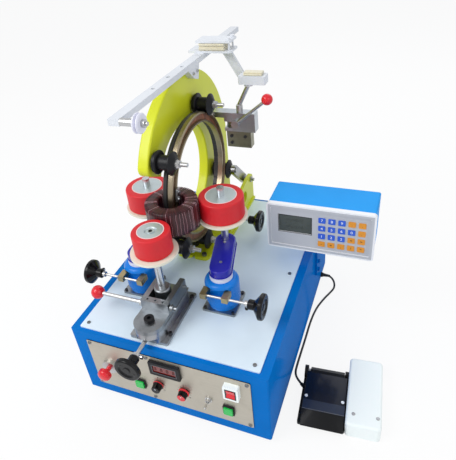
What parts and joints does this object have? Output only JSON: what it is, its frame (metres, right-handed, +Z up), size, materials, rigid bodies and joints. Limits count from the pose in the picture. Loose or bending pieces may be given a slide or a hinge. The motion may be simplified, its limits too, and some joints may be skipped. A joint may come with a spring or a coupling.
{
  "type": "toroidal coil winding machine",
  "caption": "Bench machine that winds wire on ring cores: cabinet with control panel, ring head on guide rollers, three driven tyred rollers, wire guide bar, counter box and foot switch.",
  "frame": {"origin": "middle of the cabinet's footprint, level with the undersides of its rubber feet", "axes": "+Z up, +X to the operator's right along the control panel, +Y away from the operator"},
  "size_m": [0.7437, 0.894, 0.777],
  "materials": {
    "cabinet_blue": "gloss powder coat",
    "deck_plate": "satin",
    "rubber_black": "matte",
    "panel_alloy": "satin",
    "fastener_steel": "satin",
    "meter_black": "satin",
    "control_metal": "bright",
    "stop_red": "gloss",
    "button_green": "gloss",
    "dial_black": "gloss",
    "toggle_steel": "bright",
    "rocker_red": "gloss",
    "casting_yellow": "gloss enamel",
    "axle_steel": "satin",
    "ring_bronze": "satin anodised",
    "drive_black": "satin",
    "slider_steel": "satin",
    "guide_black": "satin nylon",
    "idler_black": "satin",
    "coil_wire": "enamelled wire",
    "hub_alloy": "turned",
    "tyre_red": "satin",
    "turret_blue": "gloss",
    "cover_navy": "gloss enamel",
    "machined_steel": "satin",
    "knob_black": "gloss bakelite",
    "lever_steel": "polished",
    "bar_white": "anodised",
    "wheel_nylon": "satin",
    "tension_alloy": "satin",
    "felt_cream": "felt",
    "jaw_bronze": "blued",
    "case_blue": "satin",
    "keypad": "membrane",
    "pedal_white": "satin",
    "treadle_black": "satin",
    "cable_black": "matte",
    "cable_grey": "matte"
  },
  "bodies": {
    "machine": {"cabinet_shell": "cabinet_blue", "top_plate": "deck_plate", "rubber_feet": "rubber_black", "front_panel": "panel_alloy", "screws_and_glands": "fastener_steel", "panel_meter": "meter_black", "control_housings": "control_metal", "head_frame": "casting_yellow", "head_base": "casting_yellow", "guide_axles": "axle_steel", "turret_bases": "machined_steel", "slide_base": "machined_steel", "gate_block": "machined_steel", "guide_bar": "bar_white", "tension_frame": "tension_alloy", "felt_pads": "felt_cream", "controller_case": "case_blue", "controller_keypad": "keypad", "controller_bracket": "cabinet_blue", "foot_switch_base": "pedal_white", "foot_cable": "cable_black", "controller_cable": "cable_grey"},
    "ring": {"winding_ring": "ring_bronze", "drive_ring": "drive_black", "wire_slider": "slider_steel"},
    "guide_top": {"guide_roller_top": "guide_black"},
    "guide_left": {"guide_roller_left": "guide_black"},
    "guide_lower_left": {"guide_roller_lower_left": "guide_black"},
    "guide_bottom": {"guide_roller_bottom": "guide_black"},
    "guide_right": {"guide_roller_right": "guide_black"},
    "idler": {"idler_arm": "idler_black"},
    "core": {"wound_core": "coil_wire"},
    "left_turret": {"left_turret_body": "turret_blue", "left_belt_cover": "cover_navy"},
    "right_turret": {"right_turret_body": "turret_blue", "right_belt_cover": "cover_navy"},
    "left_roller": {"left_roller_hub": "hub_alloy", "left_roller_tyre": "tyre_red"},
    "right_roller": {"right_roller_hub": "hub_alloy", "right_roller_tyre": "tyre_red"},
    "front_roller": {"front_roller_hub": "hub_alloy", "front_roller_tyre": "tyre_red"},
    "left_adjust_knob": {"left_adjuster": "knob_black"},
    "right_adjust_knob": {"right_adjuster": "knob_black"},
    "carriage": {"slide_carriage": "machined_steel"},
    "feed_screw": {"feed_knob": "knob_black"},
    "pressure_arm": {"swing_arm": "machined_steel", "arm_lever": "lever_steel"},
    "gate_handle": {"gate_lever": "lever_steel"},
    "jaw": {"gate_jaw": "jaw_bronze"},
    "wire_wheel": {"guide_wheel": "wheel_nylon"},
    "rear_screw": {"rear_knob": "knob_black"},
    "treadle": {"foot_treadle": "treadle_black"},
    "stop_push": {"stop_button": "stop_red"},
    "left_push": {"left_button_cap": "button_green"},
    "right_push": {"right_button_cap": "button_green"},
    "left_pot": {"left_dial": "dial_black"},
    "right_pot": {"right_dial": "dial_black"},
    "toggle": {"toggle_lever": "toggle_steel"},
    "rocker": {"power_rocker": "rocker_red"}
  },
  "joints": [
    {"name": "ring_spin", "type": "hinge", "parent": "machine", "child": "ring", "pos_m": [-0.048, 0.059, 0.462], "axis": [1, 0, 0], "continuous": true},
    {"name": "guide_top_spin", "type": "hinge", "parent": "machine", "child": "guide_top", "pos_m": [-0.048, 0.15126, 0.62844], "axis": [1, 0, 0], "continuous": true},
    {"name": "guide_left_spin", "type": "hinge", "parent": "machine", "child": "guide_left", "pos_m": [-0.048, -0.08784, 0.58305], "axis": [1, 0, 0], "continuous": true},
    {"name": "guide_lower_left_spin", "type": "hinge", "parent": "machine", "child": "guide_lower_left", "pos_m": [-0.048, -0.08549, 0.33816], "axis": [1, 0, 0], "continuous": true},
    {"name": "guide_bottom_spin", "type": "hinge", "parent": "machine", "child": "guide_bottom", "pos_m": [-0.048, 0.04241, 0.27242], "axis": [1, 0, 0], "continuous": true},
    {"name": "idler_swing", "type": "hinge", "parent": "machine", "child": "idler", "pos_m": [0, 0.31, 0.318], "axis": [1, 0, 0], "range_deg": [-15, 0]},
    {"name": "guide_right_spin", "type": "hinge", "parent": "idler", "child": "guide_right", "pos_m": [-0.048, 0.23544, 0.39071], "axis": [1, 0, 0], "continuous": true},
    {"name": "core_spin", "type": "hinge", "parent": "machine", "child": "core", "pos_m": [-0.04, -0.106, 0.464], "axis": [0, 0, 1], "continuous": true},
    {"name": "left_turret_swing", "type": "hinge", "parent": "machine", "child": "left_turret", "pos_m": [-0.14, -0.143, 0.3], "axis": [0, 0, 1], "range_deg": [0, 10]},
    {"name": "right_turret_swing", "type": "hinge", "parent": "machine", "child": "right_turret", "pos_m": [0.084, -0.143, 0.3], "axis": [0, 0, 1], "range_deg": [-10, 0]},
    {"name": "left_roller_spin", "type": "hinge", "parent": "left_turret", "child": "left_roller", "pos_m": [-0.14, -0.04279, 0.45], "axis": [0, 0, 1], "continuous": true},
    {"name": "right_roller_spin", "type": "hinge", "parent": "right_turret", "child": "right_roller", "pos_m": [0.06, -0.04279, 0.45], "axis": [0, 0, 1], "continuous": true},
    {"name": "left_adjust_turn", "type": "hinge", "parent": "left_turret", "child": "left_adjust_knob", "pos_m": [-0.253, -0.194, 0.3], "axis": [1, 0, 0], "range_deg": [0, 600]},
    {"name": "right_adjust_turn", "type": "hinge", "parent": "right_turret", "child": "right_adjust_knob", "pos_m": [0.197, -0.194, 0.3], "axis": [1, 0, 0], "range_deg": [0, 600]},
    {"name": "feed_turn", "type": "hinge", "parent": "machine", "child": "feed_screw", "pos_m": [-0.04, -0.4, 0.25], "axis": [0, 1, 0], "range_deg": [0, 1080]},
    {"name": "carriage_travel", "type": "slide", "parent": "machine", "child": "carriage", "axis": [0, -1, 0], "range_m": [0, 0.03]},
    {"name": "arm_swing", "type": "hinge", "parent": "carriage", "child": "pressure_arm", "pos_m": [-0.04, -0.29, 0.28], "axis": [0, 0, 1], "range_deg": [0, 12]},
    {"name": "front_roller_spin", "type": "hinge", "parent": "pressure_arm", "child": "front_roller", "pos_m": [-0.04, -0.2133, 0.45], "axis": [0, 0, 1], "continuous": true},
    {"name": "gate_lever_swing", "type": "hinge", "parent": "machine", "child": "gate_handle", "pos_m": [0.015, 0.205, 0.552], "axis": [0, 1, 0], "range_deg": [0, 60]},
    {"name": "jaw_travel", "type": "slide", "parent": "machine", "child": "jaw", "axis": [0, 0, -1], "range_m": [0, 0.006]},
    {"name": "wire_wheel_spin", "type": "hinge", "parent": "machine", "child": "wire_wheel", "pos_m": [-0.019, -0.205, 0.734], "axis": [1, 0, 0], "continuous": true},
    {"name": "rear_knob_turn", "type": "hinge", "parent": "machine", "child": "rear_screw", "pos_m": [0.088, 0.14, 0.286], "axis": [1, 0, 0], "range_deg": [0, 360]},
    {"name": "treadle_press", "type": "hinge", "parent": "machine", "child": "treadle", "pos_m": [0.33959, -0.11521, 0.024], "axis": [0.9969, 0.0785, 0], "range_deg": [0, 5], "stiffness_Nm_per_rad": 8, "springref_deg": -5.73},
    {"name": "stop_press", "type": "slide", "parent": "machine", "child": "stop_push", "axis": [0, 1, 0], "range_m": [0, 0.006], "stiffness_N_per_m": 600, "springref_m": -0.004},
    {"name": "left_button_press", "type": "slide", "parent": "machine", "child": "left_push", "axis": [0, 1, 0], "range_m": [0, 0.0025], "stiffness_N_per_m": 500, "springref_m": -0.002},
    {"name": "right_button_press", "type": "slide", "parent": "machine", "child": "right_push", "axis": [0, 1, 0], "range_m": [0, 0.0025], "stiffness_N_per_m": 500, "springref_m": -0.002},
    {"name": "left_dial_turn", "type": "hinge", "parent": "machine", "child": "left_pot", "pos_m": [-0.026, -0.33, 0.111], "axis": [0, 1, 0], "range_deg": [-150, 150]},
    {"name": "right_dial_turn", "type": "hinge", "parent": "machine", "child": "right_pot", "pos_m": [0.042, -0.33, 0.111], "axis": [0, 1, 0], "range_deg": [-150, 150]},
    {"name": "toggle_flip", "type": "hinge", "parent": "machine", "child": "toggle", "pos_m": [0.104, -0.335, 0.109], "axis": [1, 0, 0], "range_deg": [-12, 12]},
    {"name": "rocker_flip", "type": "hinge", "parent": "machine", "child": "rocker", "pos_m": [0.167, -0.34, 0.17], "axis": [1, 0, 0], "range_deg": [-8, 8]}
  ],
  "couplings": [
    {"joint": "guide_top_spin", "follows": "ring_spin", "ratio": -9.5556},
    {"joint": "guide_left_spin", "follows": "ring_spin", "ratio": -9.5556},
    {"joint": "guide_lower_left_spin", "follows": "ring_spin", "ratio": -9.5556},
    {"joint": "guide_bottom_spin", "follows": "ring_spin", "ratio": -9.5556},
    {"joint": "guide_right_spin", "follows": "ring_spin", "ratio": -9.5556},
    {"joint": "left_roller_spin", "follows": "core_spin", "ratio": -1.1455},
    {"joint": "right_roller_spin", "follows": "core_spin", "ratio": -1.1455},
    {"joint": "front_roller_spin", "follows": "core_spin", "ratio": -1.4318},
    {"joint": "left_adjust_turn", "follows": "left_turret_swing", "ratio": 60},
    {"joint": "right_adjust_turn", "follows": "right_turret_swing", "ratio": -60},
    {"joint": "feed_turn", "follows": "carriage_travel", "rad_per_m": 628.32},
    {"joint": "jaw_travel", "follows": "gate_lever_swing", "m_per_rad": 0.0057}
  ]
}
